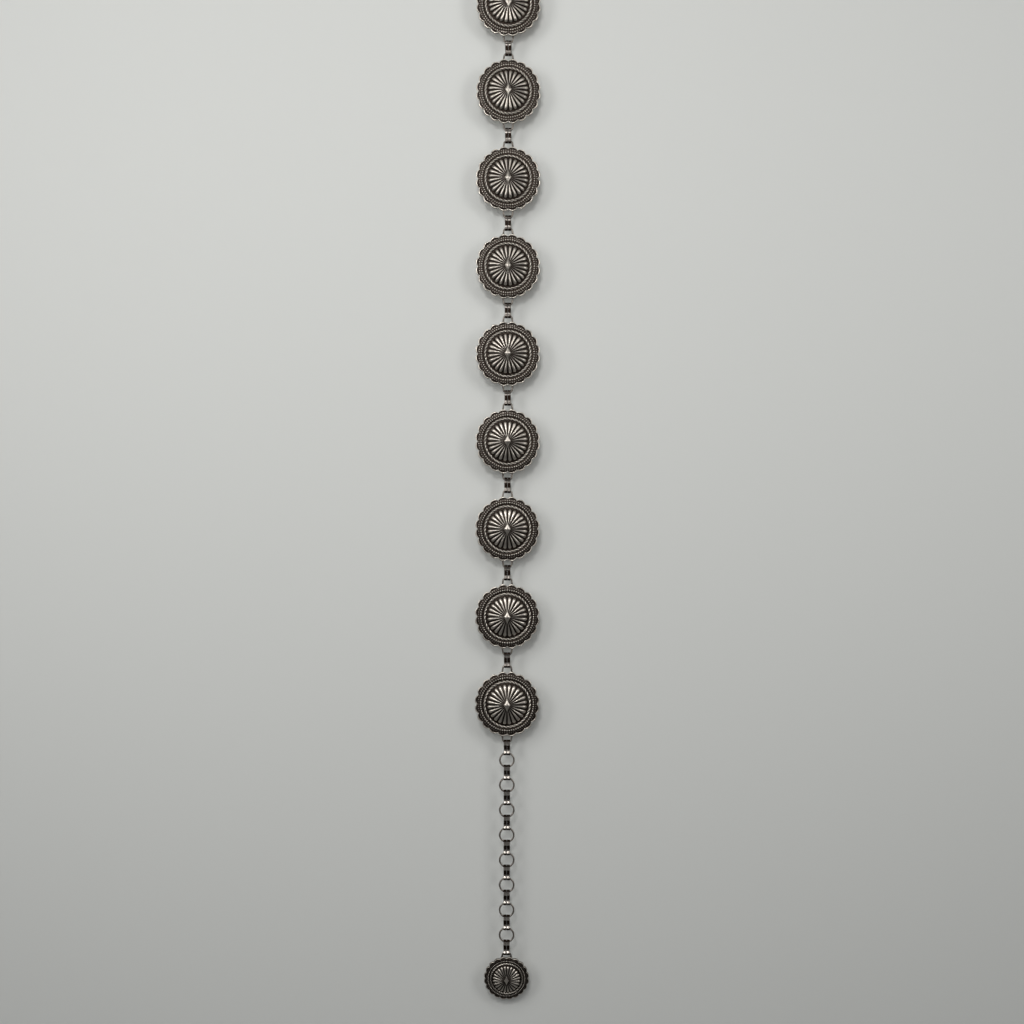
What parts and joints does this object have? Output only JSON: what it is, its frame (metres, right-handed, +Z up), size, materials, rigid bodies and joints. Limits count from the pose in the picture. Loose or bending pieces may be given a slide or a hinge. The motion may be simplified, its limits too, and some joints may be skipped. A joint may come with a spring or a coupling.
{
  "type": "concho belt",
  "caption": "Metal belt of scalloped round conchos joined by folded links, with a hook at one end and a ring chain ending in a small concho.",
  "frame": {"origin": "inside top of the hook, where the belt hangs", "axes": "+Z up along the hanging belt, -Y towards the fronts of the conchos, +X to the right seen from the front"},
  "size_m": [0.041, 0.0143, 0.8509],
  "materials": {
    "concho_metal": "antiqued silver tone, polished on the raised parts and dark in the recesses",
    "link_metal": "silver tone wire, worn bright where it is folded",
    "ring_metal": "antiqued silver tone wire, darker than the links",
    "hook_metal": "antiqued silver tone strip, satin"
  },
  "bodies": {
    "root": {"hook": "hook_metal", "hook_link": "link_metal", "concho_01": "concho_metal", "concho_02": "concho_metal", "concho_03": "concho_metal", "concho_04": "concho_metal", "concho_05": "concho_metal", "concho_06": "concho_metal", "concho_07": "concho_metal", "concho_08": "concho_metal", "concho_09": "concho_metal", "concho_10": "concho_metal", "concho_11": "concho_metal", "concho_12": "concho_metal", "link_01": "link_metal", "link_02": "link_metal", "link_03": "link_metal", "link_04": "link_metal", "link_05": "link_metal", "link_06": "link_metal", "link_07": "link_metal", "link_08": "link_metal", "link_09": "link_metal", "link_10": "link_metal", "link_11": "link_metal", "chain_link_01": "link_metal", "chain_link_02": "link_metal", "chain_link_03": "link_metal", "chain_link_04": "link_metal", "chain_link_05": "link_metal", "chain_link_06": "link_metal", "chain_link_07": "link_metal", "chain_link_08": "link_metal", "chain_link_09": "link_metal", "ring_01": "ring_metal", "ring_02": "ring_metal", "ring_03": "ring_metal", "ring_04": "ring_metal", "ring_05": "ring_metal", "ring_06": "ring_metal", "ring_07": "ring_metal", "ring_08": "ring_metal", "end_concho": "concho_metal"}
  },
  "joints": []
}
